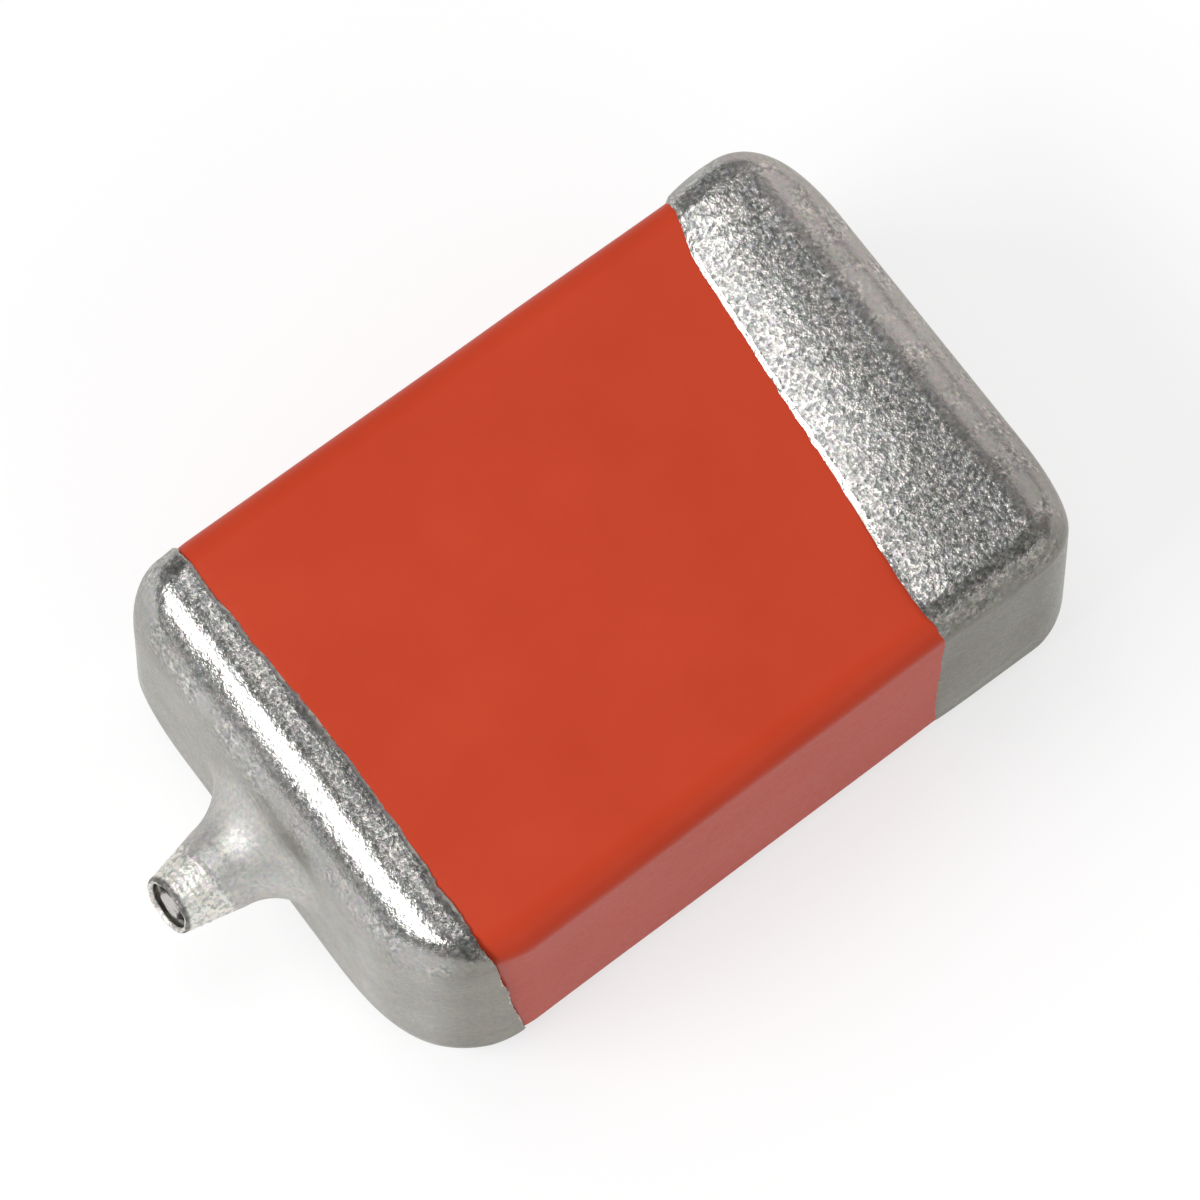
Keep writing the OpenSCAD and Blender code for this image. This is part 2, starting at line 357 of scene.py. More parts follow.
def flush_side(around, covered=0.0):
    """How much of its build-up a termination has round the section: all of it but on the -Y side,
    where it lies nearly flush with the coat. covered moves this to all of it everywhere."""
    thinned = FLUSH_SHARE * ease((-around.y_side - 0.2) / 0.8)
    return 1 - thinned * (1 - covered)


def off_floor(around):
    """Where round the section a surface may stand out a little: nowhere along the bottom and its
    corners, so that the part stands on its true height, and everywhere above."""
    return ease((around.z_side + 1) / 0.3)


def nib_fillet(inset):
    """The radius of the nib's fillet and of the root that it comes down to, on a surface an inset
    below the outside."""
    root = NIB_TIP_RADIUS + NIB_TAPER * (NIB_REACH - NIB_FILLET)
    return NIB_FILLET + inset, root - inset


def nib_swell(y, z, inset):
    """How far the nib's fillet stands out from the end face at y and z, a quarter circle round the
    wire's line: f (1 - cos a), where sin a = 1 - (r - root) / f."""
    fillet, root = nib_fillet(inset)
    away = np.hypot(y - WIRE_Y, z - MIDDLE_Z)
    sine = np.clip(1 - (away - root) / fillet, 0, 1)
    return fillet * (1 - np.sqrt(1 - sine**2))


def cut_x(above_wire):
    """Where the nib's cut end lies at a height above the wire's line: a plane that leans back."""
    return TIP_X + NIB_LEAN * (above_wire + NIB_TIP_RADIUS)


# ---------------------------------------------------------------- the dipped terminations


class DippedSurface:
    """One surface of a termination, from its edge on the coat inwards. share is its depth in the
    termination's build-up, 0 on the outside and 1 on the coat, and closeness says how close its
    rows lie, as a share of the closest. Each end of the part fills in the values below."""

    form = None
    build_up = 0.0
    outline_depth = 0.0  # the depth behind the end plane whose outline the edge is drawn on
    lap_end = 0.0  # the depth at which the lap on the coat ends and the bend starts
    merge = 0.0  # the depth of bend over which the -Y side regains its whole build-up
    lap_rows = 0
    bend_rows = 44
    face_rows = 30
    crowding = 1.0  # the power that brings the lap's rows closer together at the edge
    wave_height = 0.0
    wave_seed = 0

    def __init__(self, around, share, closeness):
        self.around = around
        self.closeness = closeness
        self.inset = share * self.build_up
        self.near_outside = share < 0.5
        outline = np.full((1, 1), self.outline_depth)
        self.edge_y, self.edge_z = self.form.section(around, outline, 0.0)

    def steps(self, most, first=0.0, last=1.0):
        """Even steps from first to last as a column, most of them where rows lie closest."""
        return column(np.linspace(first, last, max(4, round(most * self.closeness))))

    def unevenness(self, depth):
        """How far the skin's slow unevenness stands out at a depth: nothing along the bottom."""
        wave = ripple(depth, self.edge_y, self.edge_z, self.wave_seed, length=0.9)
        return self.wave_height * wave * off_floor(self.around)

    def crown(self, along):
        """How far the lap stands out between its edge, at 0, and the bend, at 1."""
        return 0.0

    def lap_course(self):
        """The depth and the inset of the rows from the edge to the bend. The inset goes from just
        under the coat's surface to the surface's own, as climb says, less what stands out."""
        along = self.steps(self.lap_rows) ** self.crowding
        start = self.edge_depth()
        depth = between(start, self.lap_end, along)
        from_edge = start - depth
        kept = flush_side(self.around)
        sunk = self.build_up * kept + EDGE_SUNK
        inset = sunk - (sunk - self.inset * kept) * self.climb(from_edge)
        uneven = self.unevenness(depth) * ease(from_edge / 0.1)
        return depth, inset - self.crown(along) - uneven

    def bend_course(self, radius):
        """The depth and the inset of the rows round the bend, at even turns of a quarter circle
        from the lap's end to the end plane: r (1 - sin a)."""
        radius = radius - self.inset
        first = math.asin(1 - self.lap_end / radius)
        depth = radius * (1 - np.sin(self.steps(self.bend_rows, first, math.pi / 2)[1:]))
        kept = flush_side(self.around, ease((self.lap_end - depth) / self.merge))
        return depth, self.inset * kept - self.unevenness(depth)


class AnodeSurface(DippedSurface):
    """A surface of the anode termination: over the bend and the end face, up the fillet and along
    the nib. At a share of 1 it lies on the coat and goes straight to the wire."""

    form = ANODE_FORM
    build_up = ANODE_BUILD_UP
    outline_depth = 0.7
    lap_end = 0.3
    merge = 0.2
    lap_rows = 36
    crowding = 1.4
    wave_height = 0.007
    wave_seed = 11
    fillet_rows = 26
    steep_fillet = (30, 84)  # the steep part of the fillet's quarter turn, in degrees
    stem_rows = 22
    rim_rows = 14
    dimple_y = 1.15
    dimple_width = 0.24
    dimple_depth = 0.024
    dimple_back = 0.17  # how far the dimple lies behind the end plane

    def __init__(self, around, share, closeness):
        super().__init__(around, share, closeness)
        self.on_wire = share > 0.99
        self.face_x = ANODE_END_X + self.inset
        fillet, root = nib_fillet(self.inset)
        angle = np.radians(self.steps(self.fillet_rows, *self.steep_fillet))
        self.fillet_x = self.face_x - fillet * (1 - np.cos(angle))
        self.fillet_r = root + fillet * (1 - np.sin(angle))
        self.tip_r = NIB_TIP_RADIUS - self.inset
        if self.on_wire:
            self.tip_r = WIRE_RADIUS + TOUCH_GAP
            self.fillet_x = self.face_x + 0 * angle
            self.fillet_r = self.tip_r + 0 * angle
        self.tip_x = cut_x(self.tip_r * around.ring_z)

    def edge_depth(self):
        """How far behind the end plane the edge lies, round the section."""
        from_end = anode_edge_x(self.edge_y, self.edge_z) - ANODE_END_X
        return from_end - ANODE_SKEW * self.edge_y

    def climb(self, from_edge):
        """How much of its height the lap has reached: a quarter sine as its lip, then a slope."""
        lip = np.sin(np.clip(from_edge / 0.035, 0, 1) * math.pi / 2)
        return 0.6 * lip + 0.4 * ease(from_edge / 0.3)

    def dimple(self, depth):
        """How deep the dimple on the upper bend is: a bell curve of y, times a smooth step up and
        down again over the depth."""
        across = np.exp(-(((self.edge_y - self.dimple_y) / self.dimple_width) ** 2))
        along = ease(1 - np.abs(depth - self.dimple_back) / self.dimple_back)
        return self.dimple_depth * across * (self.around.z_side > 0.99) * along

    def swell(self, y, z):
        """How far the end face stands out into the fillet: not at all on the coat."""
        return 0 if self.on_wire else nib_swell(y, z, self.inset)

    def lap(self):
        """The section at each depth of the lap, askew by ANODE_SKEW times y."""
        depth, inset = self.lap_course()
        y, z = self.form.section(self.around, depth, inset)
        return ANODE_END_X + depth + ANODE_SKEW * y, y, z

    def bend(self):
        """The section at each depth of the bend, with the dimple, less the fillet's swell."""
        depth, inset = self.bend_course(self.form.top_radius)
        y, z = self.form.section(self.around, depth, inset + self.dimple(depth))
        return self.face_x + depth - self.swell(y, z) + ANODE_SKEW * y, y, z

    def end_face(self):
        """The end face: the sides of the bend's last section move evenly to those of the circle
        where the steep part of the fillet, or the wire, starts."""
        form, across = self.form, self.steps(self.face_rows)[1:-1]
        foot = self.fillet_r[0, 0]
        left, right = form.flat_sides
        low = between(form.bottom_radius, MIDDLE_Z - foot, across)
        high = between(HEIGHT - form.top_radius, MIDDLE_Z + foot, across)
        y, z = sections(
            self.around,
            half_width=between((left + right) / 2, foot, across),
            low=low,
            high=high,
            radius=np.minimum(between(END_EDGE_RADIUS, foot, across), (high - low) / 2),
            circle=ease(across * 1.5),
            y_centre=between((left - right) / 2, WIRE_Y, across),
        )
        return self.face_x - self.swell(y, z) + ANODE_SKEW * y, y, z

    def fillet(self):
        """The steep part of the fillet: circles round the wire, less and less askew."""
        y, z = round_wire(self.around, self.fillet_r)
        skew = ANODE_SKEW * column(np.linspace(1, 0, len(self.fillet_x)))
        return self.fillet_x + skew * y, y, z

    def stem_radius(self, along):
        """The nib's radius from the fillet, at 0, to its tip, at 1: a cone, with small dents over
        its outer part."""
        y, z = NIB_TIP_RADIUS * self.around.ring_y, NIB_TIP_RADIUS * self.around.ring_z
        dents = 0.006 * ripple(3 * along, y, z, seed=12, length=0.22)
        dents = dents * ease(2 * along - 0.6) * self.near_outside
        return between(self.fillet_r[-1], self.tip_r, along) + dents

    def stem(self, setback):
        """The nib's cone as circles round the wire, up to a setback from the cut."""
        along = self.steps(self.stem_rows)[1:]
        x = between(self.fillet_x[-1], self.tip_x + setback, along)
        return x, *round_wire(self.around, self.stem_radius(along))

    def rim(self):
        """The rim of the cut end: half a turn inwards, x back by 1 - sin a and the radius less by
        1 - cos a, with a slow unevenness round it."""
        turn = column(np.linspace(0, math.pi, self.rim_rows)[1:])
        ring_y, ring_z = self.around.ring_y, self.around.ring_z
        uneven = 0.006 * ripple(0, ring_y, ring_z, seed=13, length=0.8)
        x = self.tip_x + RIM_ROUNDING * (1 - np.sin(turn)) + uneven
        radius = self.stem_radius(1.0) - 0.024 * (1 - np.cos(turn))
        return x, *round_wire(self.around, radius)

    def rows(self, with_rim=False):
        """The whole surface as one grid, rounded over at the cut end or set back from it."""
        blocks = [self.lap(), self.bend(), self.end_face(), self.fillet()]
        if with_rim:
            return stacked(*blocks, self.stem(RIM_ROUNDING), self.rim())
        return stacked(*blocks, self.stem(PLATING_SETBACK if self.near_outside else GROOVE_DEPTH))


class CathodeSurface(DippedSurface):
    """A surface of the cathode termination: over the bend to the middle of the domed end face."""

    form = CATHODE_FORM
    build_up = CATHODE_BUILD_UP
    outline_depth = 2.0
    lap_end = 0.5
    merge = 0.3
    lap_rows = 70
    crowding = 1.6
    wave_height = 0.005
    wave_seed = 14

    def edge_depth(self):
        """How far behind the end plane the edge lies, round the section."""
        return self.form.end_x - cathode_edge_x(self.edge_y, self.edge_z)

    def climb(self, from_edge):
        """How much of its height the lap has reached: a straight lip, then 1 - e^(-d)."""
        lip = np.clip(from_edge / 0.05, 0, 1)
        return 0.42 * lip + 0.58 * (1 - np.exp(-from_edge / 0.13))

    def crown(self, along):
        """A low crown, half a sine from the edge to the bend, but not along the bottom."""
        return 0.012 * np.sin(along * math.pi) * self.near_outside * off_floor(self.around)

    def end_face(self):
        """The end face: the bend's last section shrinks evenly to its middle, and x rises to the
        dome by 1 - s^2."""
        form, across = self.form, self.steps(self.face_rows)[1:-1]
        shrink = 1 - across
        middle = (form.bottom_radius + HEIGHT - form.top_radius) / 2
        half_height = (HEIGHT - form.top_radius - form.bottom_radius) / 2 * shrink
        y, z = sections(
            self.around,
            half_width=form.flat_sides[0] * shrink,
            low=middle - half_height,
            high=middle + half_height,
            radius=np.minimum(END_EDGE_RADIUS, half_height),
            circle=across * 0.5,
        )
        return form.end_x - self.inset + END_DOME * (1 - shrink**2), y, z

    def rows(self):
        """The whole surface as one grid."""
        form = self.form
        depth, inset = self.lap_course()
        lap = (form.end_x - depth, *form.section(self.around, depth, inset))
        depth, inset = self.bend_course(form.plan_radii[0])
        bend = (form.end_x - self.inset - depth, *form.section(self.around, depth, inset))
        return stacked(lap, bend, self.end_face())


def anode_layer(name, around, outer_share, inner_share, closeness=HIDDEN_ROWS):
    """One layer of the anode termination, closed at its edge on the coat and round the wire."""
    outer = AnodeSurface(around, outer_share, closeness).rows(with_rim=outer_share == 0)
    return shell(name, outer, AnodeSurface(around, inner_share, HIDDEN_ROWS).rows())


def cathode_layer(name, around, outer_share, inner_share, closeness=HIDDEN_ROWS):
    """One layer of the cathode termination, closed at its edge and at the middle of the end."""
    outer = CathodeSurface(around, outer_share, closeness).rows()
    inner = CathodeSurface(around, inner_share, HIDDEN_ROWS).rows()
    rows = [np.concatenate([a[::-1], b]) for a, b in zip(outer, inner)]
    return add_surface(name, *rows, poles=True)


# ---------------------------------------------------------------- the coat and the wire


def coat_outside(around):
    """The coat's outer skin: it follows the anode's bend just under the termination, then tapers
    evenly to the width and the inset that it has at the cathode. It leans to -Y by half of the
    step that the terminations lack there."""
    nose_x, open_x = coat_low[0], coat_high[0]
    form = ANODE_FORM.ending_at(nose_x)
    bent = max(form.plan_radii)
    bend_depth = bent * (1 - np.sin(column(np.linspace(math.pi / 2, 0, 50))))
    straight = column(np.linspace(bent, open_x - nose_x, 90)[1:])
    depth = np.concatenate([bend_depth, straight])

    share = (nose_x + depth - ANODE_END_X) / (TAPER_END_X - ANODE_END_X)
    inset = ANODE_BUILD_UP + TOUCH_GAP + (CATHODE_BUILD_UP - ANODE_BUILD_UP) * share
    past_nose = ease((depth - 0.1) / 0.4)
    before_open_end = ease((3.2 - nose_x - depth) / 0.4)
    sway = FLUSH_SHARE / 2 * inset * past_nose * before_open_end
    narrowing = (ANODE_HALF_WIDTH - CATHODE_HALF_WIDTH) * np.clip(share, 0, 1.2) - sway
    y, z = form.section(around, depth, inset, narrowing, sway)

    swell = 0.003 * ripple(depth, y, z, seed=8, length=1.5)
    y = y + swell * np.sign(y) * (np.abs(around.y_side) > 0.99)
    z = z + swell * np.sign(z - MIDDLE_Z) * (np.abs(around.z_side) > 0.99)
    skew = ANODE_SKEW * ease((1.6 - depth) / 0.6)
    return nose_x + depth + skew * y, y, z


def coat_cavity(around):
    """The coat's inner wall: sections that step out from round the wire and its washer to the
    dioxide, graphite and silver skins that they fit, up to the open cathode end."""

    def circle(radius):
        return (radius, MIDDLE_Z - radius, MIDDLE_Z + radius, radius, 1.0, WIRE_Y)

    def walls(low, high, radius):
        return (high[1], low[2], high[2], radius, 0.0, 0.0)

    wire = circle(WIRE_RADIUS)
    washer = circle((washer_high[2] - washer_low[2]) / 2)
    dioxide = walls(dioxide_low, dioxide_high, 0.16)
    graphite = walls(graphite_low, graphite_high, 0.185)
    silver = walls(silver_low, silver_high, 0.22)
    outlines = np.array(
        [
            (coat_low[0], *wire),
            (washer_low[0], *wire),
            (washer_low[0], *washer),
            (dioxide_low[0], *washer),
            (dioxide_low[0], *dioxide),
            (graphite_low[0], *dioxide),
            (graphite_low[0], *graphite),
            (silver_low[0], *graphite),
            (silver_low[0], *silver),
            (coat_high[0], *silver),
        ]
    )
    x, *outline = (outlines[:, k : k + 1] for k in range(outlines.shape[1]))
    y, z = sections(around, *outline)
    return x + 0 * y, y, z


def coat_body():
    """The epoxy coat: one closed skin from its outside and its cavity."""
    around = Around(20, 60)
    return shell("coat_body", coat_outside(around), coat_cavity(around))


def wire_end():
    """The anode wire: circles along a plain rod from inside the block, then shrinking circles over
    its sheared face in the nib. The face leans like the cut, has a chamfered edge, and a step and
    a pit where it tore."""
    around = Around(20, 20)
    rod_x = column([wire_high[0], wire_high[0] - 1, 0.0, TIP_X + 0.5]) + 0 * around.ring_y
    rod_r = np.full((len(rod_x), 1), WIRE_RADIUS)

    face_r = WIRE_RADIUS * (1 - column(np.linspace(0, 1, 24)[:-1]))
    y, z = face_r * around.ring_y, face_r * around.ring_z
    chamfer = 0.06 * (1 - ease((WIRE_RADIUS - face_r) / 0.07))
    step = 0.012 * ease((z + 0.35 * y + 0.02) / 0.05)
    pit = 0.01 * ease((0.06 - np.hypot(y + 0.05, z - 0.02)) / 0.04)
    uneven = 0.006 * ripple(0 * y, y, z, seed=9, length=0.2)
    face_x = cut_x(z) + 0.025 + chamfer + step - pit + uneven

    x = np.concatenate([rod_x, face_x])
    radius = np.concatenate([rod_r, face_r])
    return add_surface("wire_end", x, *round_wire(around, radius), poles=True)


# ---------------------------------------------------------------- finishes


def grey(level):
    """A neutral colour of one level."""
    return (level, level, level, 1.0)


class Finish:
    """A material built node by node, whose patterns all read Object coordinates in metres. A value
    is a number, a colour or another node's output."""

    def __init__(self, name):
        self.material = bpy.data.materials.new(name)
        self.material.use_nodes = True
        self.tree = self.material.node_tree
        self.shader = self.tree.nodes["Principled BSDF"]
        self.place = self.node("ShaderNodeTexCoord").outputs["Object"]

    def node(self, kind, **settings):
        made = self.tree.nodes.new(kind)
        for key, value in settings.items():
            setattr(made, key, value)
        return made

    def put(self, socket, value):
        """Sets a socket to a value, or links it to another node's output."""
        if isinstance(value, bpy.types.NodeSocket):
            self.tree.links.new(value, socket)
        else:
            socket.default_value = value

    def set(self, **values):
        """Sets the shader's own sockets, with spaces for underscores, and returns the material."""
        for key, value in values.items():
            self.put(self.shader.inputs[key.replace("_", " ")], value)
        return self.material

    def combine(self, operation, a, b):
        """One step of arithmetic on two values."""
        made = self.node("ShaderNodeMath", operation=operation)
        self.put(made.inputs[0], a)
        self.put(made.inputs[1], b)
        return made.outputs[0]

    def plus(self, a, b):
        return self.combine("ADD", a, b)

    def times(self, a, b):
        return self.combine("MULTIPLY", a, b)

    def most(self, a, b):
        return self.combine("MAXIMUM", a, b)

    def combine_vectors(self, operation, a, b):
        """One step of arithmetic on two vectors, or on a vector and its scale."""
        made = self.node("ShaderNodeVectorMath", operation=operation)
        self.put(made.inputs[0], a)
        self.put(made.inputs["Scale" if operation == "SCALE" else 1], b)
        return made.outputs[0]

    def spread(self, value, low, high, to_low=0.0, to_high=1.0, smooth=False):
        """value, mapped from low..high to to_low..to_high and held inside."""
        made = self.node("ShaderNodeMapRange")
        made.interpolation_type = "SMOOTHSTEP" if smooth else "LINEAR"
        self.put(made.inputs["Value"], value)
        self.put(made.inputs["From Min"], low)
        self.put(made.inputs["From Max"], high)
        self.put(made.inputs["To Min"], to_low)
        self.put(made.inputs["To Max"], to_high)
        return made.outputs["Result"]

    def scaled_where(self, mask, value, factor):
        """value, times factor where mask is 1."""
        return self.times(value, self.spread(mask, 0.0, 1.0, 1.0, factor))

    def blend(self, share, a, b):
        """The colour that lies a share of the way from a to b."""
        made = self.node("ShaderNodeMix", data_type="RGBA")
        self.put(made.inputs["Factor"], share)
        self.put(made.inputs["A"], a)
        self.put(made.inputs["B"], b)
        return made.outputs["Result"]

    def parts(self, kind, value):
        """The outputs of a node that separates a vector or a colour."""
        made = self.node(kind)
        self.put(made.inputs[0], value)
        return made.outputs

    def axis(self, name):
        """One coordinate of the place, in millimetres."""
        return self.times(self.parts("ShaderNodeSeparateXYZ", self.place)[name], 1 / MM)

    def from_wire(self):
        """The distance from the wire's line, in millimetres: sqrt(y^2 + z^2) from its middle."""
        y = self.plus(self.axis("Y"), -WIRE_Y)
        z = self.plus(self.axis("Z"), -MIDDLE_Z)
        return self.combine("POWER", self.plus(self.times(y, y), self.times(z, z)), 0.5)

    def noise(self, per_mm, detail=2.0, roughness=0.5, output="Fac"):
        """Smooth noise with a number of waves to the millimetre."""
        made = self.node("ShaderNodeTexNoise")
        self.put(made.inputs["Vector"], self.place)
        self.put(made.inputs["Scale"], per_mm / MM)
        self.put(made.inputs["Detail"], detail)
        self.put(made.inputs["Roughness"], roughness)
        return made.outputs[output]

    def cells(self, per_mm, place):
        """The colours of cells at a place, with a number of them to the millimetre."""
        made = self.node("ShaderNodeTexVoronoi")
        self.put(made.inputs["Vector"], place)
        self.put(made.inputs["Scale"], per_mm / MM)
        return made.outputs["Color"]

    def bump(self, height, millimetres, normal=None):
        """The normal of a surface that height raises by up to some millimetres."""
        made = self.node("ShaderNodeBump")
        self.put(made.inputs["Height"], height)
        self.put(made.inputs["Strength"], 1.0)
        self.put(made.inputs["Distance"], millimetres * MM)
        if normal is not None:
            self.put(made.inputs["Normal"], normal)
        return made.outputs["Normal"]


def coat_epoxy():
    """Orange-red epoxy, smooth and slightly glossy, with a faint mottle and orange peel."""
    f = Finish("coat_epoxy")
    mottle = f.spread(f.noise(1.3, detail=3.0), 0.3, 0.7)
    peel = f.noise(5.0)
    fine = f.noise(22.0)
    return f.set(
        Base_Color=f.blend(mottle, (0.610, 0.057, 0.020, 1.0), (0.640, 0.064, 0.024, 1.0)),
        IOR=1.22,
        Roughness=f.spread(fine, 0.2, 0.8, 0.34, 0.44),
        Normal=f.bump(fine, 0.0005, f.bump(peel, 0.002)),
    )


class DippedTin(Finish):
    """Dipped tin with a fine crystal grain: grains with a shade and a height of their own, whose
    contrast is strong on the surfaces that face up and faint on the upright ones and on the bend
    to the cathode's end; that contrast is partly real grain and partly painted glints. The nib is
    paler and duller, coarser near its cut end, and the -Y side is yellower and darker with painted
    shade, all under a slow cloudiness. Painted shade also darkens the top of the lap by the anode's
    edge, the cathode towards -Y and the nib's outermost ring."""

    def __init__(self, name):
        super().__init__(name)
        self.x, self.y, self.z = (self.axis(letter) for letter in "XYZ")
        normal = self.node("ShaderNodeTexCoord").outputs["Normal"]
        facing = self.parts("ShaderNodeSeparateXYZ", normal)
        self.upward, self.endward = facing["Z"], facing["X"]
        self.patches = self.noise(3.5)
        self.on_nib = self.spread(self.x, ANODE_END_X + 0.06, ANODE_END_X - 0.08, smooth=True)
        wander = self.spread(self.patches, 0.3, 0.7, -0.03, 0.03)
        self.at_tip = self.spread(self.plus(self.x, wander), TIP_X + 0.46, TIP_X + 0.42)
        # the -Y side: darkened with painted shade in shade() and tinted yellower in hue()
        self.minus_y_painted_shade_and_tint = self.spread(self.y, -1.76, -2.04, smooth=True)
        self.soft = self.noise(27.0, roughness=0.6)
        warp = self.combine_vectors("SUBTRACT", self.noise(40.0, output="Color"), (0.5,) * 3)
        warp = self.combine_vectors("SCALE", warp, 0.03 * MM)
        self.crystals = self.cells(30.0, self.combine_vectors("ADD", self.place, warp))
        self.crystal_values = self.parts("ShaderNodeSeparateColor", self.crystals)
        self.strength = self.grain_and_glint_strength()

    def grain_and_glint_strength(self):
        """How strong the grain and its painted glints are: all of it where the surface faces up, in
        patches a little below that, and near the nib's cut end."""
        # painted glints: the grain's contrast follows how much the surface faces up
        facing_up = self.spread(self.upward, 0.55, 0.90, smooth=True)
        before_end = self.spread(self.endward, 0.05, 0.20, 1.0, 0.0)
        sloping = self.spread(self.upward, 0.10, 0.45)
        patches = self.spread(self.patches, 0.45, 0.60, 0.0, 0.7)
        strength = self.most(self.times(facing_up, before_end), self.times(sloping, patches))
        strength = self.scaled_where(self.on_nib, strength, 0.15)
        strength = self.most(strength, self.at_tip)
        strength = self.spread(strength, 0.0, 1.0, 0.12, 1.0)
        return self.scaled_where(self.at_tip, strength, 0.7)

    def grain(self, contrast):
        """The shade of the grains, in doublings: of a soft noise, and of the crystals, with their
        painted glints.
        """
        soft = self.spread(self.soft, 0.30, 0.70, -0.75, 0.75)
        crystals = self.spread(self.crystal_values[0], 0.0, 1.0, -0.45, 0.45)
        return self.times(self.plus(soft, crystals), self.times(self.strength, contrast))

    def painted_shade_by_anode_edge(self):
        """1 on the top of the lap next to the anode termination's edge, where painted shade darkens
        it.
        """
        near_edge = self.spread(self.x, ANODE_END_X + 0.36, ANODE_END_X + 0.43)
        anode_half = self.spread(self.x, 0.0, 1.0, 1.0, 0.0)
        return self.times(self.times(near_edge, anode_half), self.spread(self.upward, 0.5, 0.9))

    def rim_shadow(self):
        """How dark the nib's outermost ring is: a band behind the cut, outside the rolled rim."""
        upright = self.plus(self.x, self.times(self.z, -NIB_LEAN))
        from_cut = self.plus(upright, -cut_x(-MIDDLE_Z))
        band = self.spread(from_cut, 0.03, 0.06, 0.7, 0.0)
        return self.times(band, self.spread(self.from_wire(), 0.226, 0.238))

    def shade(self, level, contrast):
        """How light the metal is, with painted shade on the -Y side, by the anode's edge, on the
        nib's outermost ring and on the cathode towards -Y.
        """
        cloud = self.spread(self.noise(2.2, detail=3.0), 0.3, 0.7, 0.90, 1.08)
        shade = self.times(self.combine("POWER", 2.0, self.grain(contrast)), cloud)
        # painted shade: the -Y side darker
        shade = self.scaled_where(self.minus_y_painted_shade_and_tint, shade, 0.60)
        shade = self.scaled_where(self.on_nib, shade, 1.35)
        shade = self.scaled_where(self.at_tip, shade, 1.40)
        # painted shade: darker on the top of the lap next to the anode's edge
        shade = self.scaled_where(self.painted_shade_by_anode_edge(), shade, 0.62)
        shade = self.times(shade, self.combine("SUBTRACT", 1.0, self.rim_shadow()))
        # painted shade: the cathode darker towards -Y
        on_cathode = self.spread(self.x, 0.0, 1.0)
        painted_shade_towards_minus_y = self.times(on_cathode, self.spread(self.y, 0.0, -1.3))
        shade = self.scaled_where(painted_shade_towards_minus_y, shade, 0.80)
        return self.combine("MINIMUM", self.times(shade, level), 0.95)

    def hue(self):
        """The metal's tint: warm and neutral in drifts, rosier at the cathode's end and yellower on
        the -Y side and near the cut, with a trace of the crystals' own colours."""
        drift = self.spread(self.noise(3.1), 0.35, 0.65)
        hue = self.blend(drift, (1.0, 0.975, 0.935, 1.0), (0.99, 0.985, 0.955, 1.0))
        hue = self.blend(self.spread(self.endward, 0.06, 0.25), hue, (0.96, 0.89, 0.84, 1.0))
        hue = self.blend(self.minus_y_painted_shade_and_tint, hue, (1.0, 0.97, 0.87, 1.0))
        hue = self.blend(self.at_tip, hue, (1.0, 0.985, 0.93, 1.0))
        return self.blend(0.09, hue, self.crystals)

    def relief(self, depth):
        """The normal over the grains, and over a coarser roughness near the cut."""
        height = self.plus(self.soft, self.times(self.crystal_values[1], 0.18))
        height = self.times(height, self.spread(self.strength, 0.12, 1.0, 0.45, 1.0))
        coarse = self.times(self.noise(12.0, roughness=0.6), self.at_tip)
        return self.bump(coarse, 0.02, self.bump(height, depth))


def grained_tin():
    """The terminations' tin, with its level, contrast and depth of grain."""
    f = DippedTin("grained_tin")
    roughness = f.spread(f.crystal_values[2], 0.0, 1.0, 0.18, 0.28)
    return f.set(
        Base_Color=f.combine_vectors("SCALE", f.hue(), f.shade(level=0.47, contrast=1.15)),
        Metallic=1.0,
        Specular_Tint=(0.72, 0.71, 0.68, 1.0),
        Roughness=f.plus(roughness, f.spread(f.on_nib, 0.0, 1.0, 0.0, 0.34)),
        Normal=f.relief(0.006),
    )


def sheared_tantalum():
    """The anode wire: bright grey where it is sheared, with a painted dark ring of shade round the
    core.
    """
    f = Finish("sheared_tantalum")
    grain = f.noise(18.0)
    wander = f.spread(grain, 0.3, 0.7, -0.02, 0.02)
    # painted shade: dark and not metallic outside the bright core
    core = f.spread(f.plus(f.from_wire(), wander), 0.09, 0.13, 1.0, 0.0, smooth=True)
    return f.set(
        Base_Color=f.blend(core, (0.050, 0.046, 0.044, 1.0), (0.56, 0.54, 0.53, 1.0)),
        Metallic=core,
        Specular_IOR_Level=0.1,
        Roughness=f.spread(grain, 0.3, 0.7, 0.24, 0.40),
        Normal=f.bump(grain, 0.012),
    )


def plain_finish(name, colour, metallic, roughness, per_mm, depth):
    """A finish for a hidden piece: one colour with a mottle, and a fine bump of a depth in
    millimetres, with so many waves to the millimetre."""
    f = Finish(name)
    grain = f.noise(per_mm, detail=3.0)
    mottle = f.spread(grain, 0.3, 0.7)
    dark = tuple(0.8 * c for c in colour) + (1.0,)
    light = tuple(min(1.0, 1.1 * c) for c in colour) + (1.0,)
    return f.set(
        Base_Color=f.blend(mottle, dark, light),
        Metallic=metallic,
        Roughness=f.spread(grain, 0.3, 0.7, roughness, roughness + 0.12),
        Normal=f.bump(grain, depth),
    )


# ---------------------------------------------------------------- the object


def dress(piece, material):
    """Gives a piece one material all over."""
    piece.data.materials.clear()
    piece.data.materials.append(material)


def place_piece(piece, material, node):
    """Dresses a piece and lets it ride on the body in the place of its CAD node."""
    dress(piece, material)
    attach(piece, "root")
    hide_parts(node)


tin = grained_tin()
nickel = plain_finish("nickel_plating", (0.5, 0.48, 0.44), 1.0, 0.35, 20.0, 0.001)
silver_base = plain_finish("dipped_silver", (0.62, 0.62, 0.6), 0.8, 0.5, 25.0, 0.003)

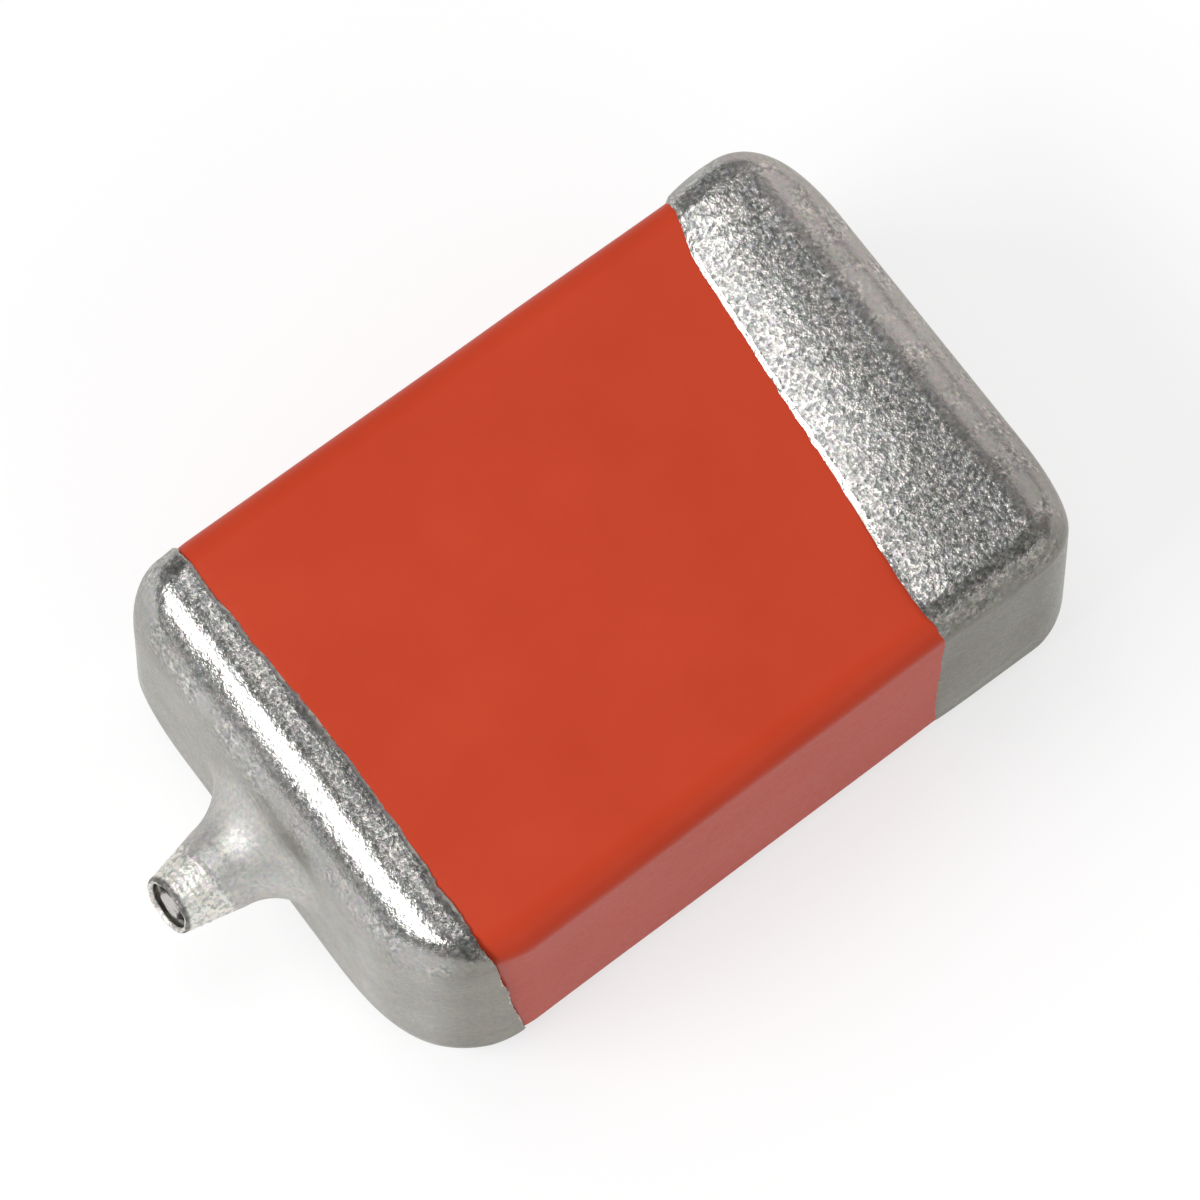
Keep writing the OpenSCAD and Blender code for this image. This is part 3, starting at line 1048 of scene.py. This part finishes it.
LAYER_MAKERS = {"anode": anode_layer, "cathode": cathode_layer}
VISIBLE_TURNS = {"anode": Around(26, 84), "cathode": Around(24, 88)}
HIDDEN_TURN = Around(10, 24)

place_piece(coat_body(), coat_epoxy(), "epoxy_coating")
for end, layer in LAYER_MAKERS.items():
    cap = layer(end + "_cap", VISIBLE_TURNS[end], 0.0, TIN_SHARE[end], closeness=1.0)
    place_piece(cap, tin, end + "_tin_finish")
for end, layer in LAYER_MAKERS.items():
    barrier = layer(end + "_nickel", HIDDEN_TURN, TIN_SHARE[end], NICKEL_SHARE[end])
    place_piece(barrier, nickel, end + "_nickel_barrier")
    base = layer(end + "_silver", HIDDEN_TURN, NICKEL_SHARE[end], 1.0)
    place_piece(base, silver_base, end + "_silver_base")
place_piece(wire_end(), sheared_tantalum(), "lead_wire")

# each inner piece's finish: name, colour, metallic, roughness, waves to the millimetre, depth
INNER_FINISHES = {
    "tantalum_block": ("sintered_tantalum", (0.16, 0.16, 0.165), 0.6, 0.6, 60.0, 0.006),
    "insulating_washer": ("washer_fluoropolymer", (0.85, 0.85, 0.82), 0.0, 0.45, 12.0, 0.002),
    "manganese_dioxide": ("dioxide_black", (0.03, 0.028, 0.026), 0.0, 0.7, 40.0, 0.004),
    "graphite": ("graphite_paint", (0.06, 0.06, 0.065), 0.2, 0.5, 25.0, 0.003),
    "silver_skin": ("silver_paint", (0.6, 0.6, 0.57), 0.8, 0.45, 30.0, 0.003),
    "cathode_joint": ("conductive_epoxy", (0.42, 0.42, 0.4), 0.6, 0.5, 25.0, 0.004),
}
for node_name, finish in INNER_FINISHES.items():
    dress(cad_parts[node_name], plain_finish(*finish))


# ---------------------------------------------------------------- floor, light and camera


def floor_white():
    """A matt pale floor with a lift that only the eye, metal and glass see, so that it shows white
    and keeps the soft shadow."""
    f = Finish("floor_white")
    rays = f.node("ShaderNodeLightPath").outputs
    seen = f.most(f.most(rays["Is Camera Ray"], rays["Is Glossy Ray"]), rays["Is Transmission Ray"])
    return f.set(
        Base_Color=grey(0.40),
        Roughness=0.9,
        Specular_IOR_Level=0.0,
        Emission_Color=grey(1.0),
        Emission_Strength=f.times(seen, 0.66),
    )


def add_floor(half_size, below):
    """A square floor a little below the part, which isn't part of the object."""
    mesh = bpy.data.meshes.new("floor")
    corners = [(-1, -1), (1, -1), (1, 1), (-1, 1)]
    mesh.from_pydata([(half_size * x, half_size * y, -below) for x, y in corners], [], [range(4)])
    mesh.materials.append(floor_white())
    floor = bpy.data.objects.new("floor", mesh)
    bpy.context.scene.collection.objects.link(floor)


def add_softbox(name, direction, distance, size, radiance, aim):
    """A rectangular lamp of a width and a height, at a distance along a direction and facing aim.
    Its power is its radiance times its area times pi."""
    width, height = size
    lamp = bpy.data.lights.new(name, "AREA")
    lamp.shape = "RECTANGLE"
    lamp.size, lamp.size_y = width, height
    lamp.energy = radiance * width * height * math.pi
    holder = bpy.data.objects.new(name, lamp)
    away = Vector(direction).normalized()
    holder.location = aim + away * distance
    holder.rotation_euler = away.to_track_quat("Z", "Y").to_euler()
    bpy.context.scene.collection.objects.link(holder)


def add_world(level):
    """An even grey light from all round."""
    world = bpy.data.worlds.new("studio")
    bpy.context.scene.world = world
    world.use_nodes = True
    background = world.node_tree.nodes["Background"]
    background.inputs["Color"].default_value = grey(1.0)
    background.inputs["Strength"].default_value = level


def add_camera(middle, azimuth, elevation, shift, frame_width, lens):
    """A long lens at an azimuth and elevation, so far off that its sensor takes in frame_width. It
    aims at the middle, moved by a shift to the right and upwards in its own frame."""
    sensor = 36.0
    camera = bpy.data.cameras.new("camera")
    camera.lens = lens
    camera.sensor_width = sensor
    camera.clip_start, camera.clip_end = 0.001, 10.0
    holder = bpy.data.objects.new("camera", camera)
    a, e = math.radians(azimuth), math.radians(elevation)
    back = Vector((math.sin(a) * math.cos(e), -math.cos(a) * math.cos(e), math.sin(e)))
    right = Vector((math.cos(a), math.sin(a), 0.0))
    above = back.cross(right)
    aim = middle + right * shift[0] + above * shift[1]
    holder.location = aim + back * (frame_width * lens / sensor)
    holder.rotation_euler = back.to_track_quat("Z", "Y").to_euler()
    bpy.context.scene.collection.objects.link(holder)
    bpy.context.scene.camera = holder


# what the lamps face and the camera is aimed from
body_middle = Vector((0.475, 0.0, MIDDLE_Z)) * MM

# each lamp's direction, distance, width and height, and radiance
LAMPS = {
    "key_softbox": ((-0.72, 0.21, 0.66), 0.09, (0.064, 0.030), 7.0),
    "overhead_softbox": ((-0.03, 0.27, 0.96), 0.10, (0.034, 0.034), 2.6),
    "side_softbox": ((0.25, -0.89, 0.38), 0.10, (0.14, 0.06), 0.90),
    "far_softbox": ((0.86, 0.25, 0.45), 0.10, (0.09, 0.07), 0.58),
}

add_floor(half_size=0.6, below=0.01 * MM)
add_world(0.38)
for name, lamp in LAMPS.items():
    add_softbox(name, *lamp, body_middle)
add_camera(
    body_middle,
    azimuth=-37.32,
    elevation=73.1,
    shift=(-0.0113 * MM, 0.0417 * MM),
    frame_width=9.379 * MM,
    lens=500.0,
)

scene = bpy.context.scene
scene.view_settings.view_transform = "Standard"
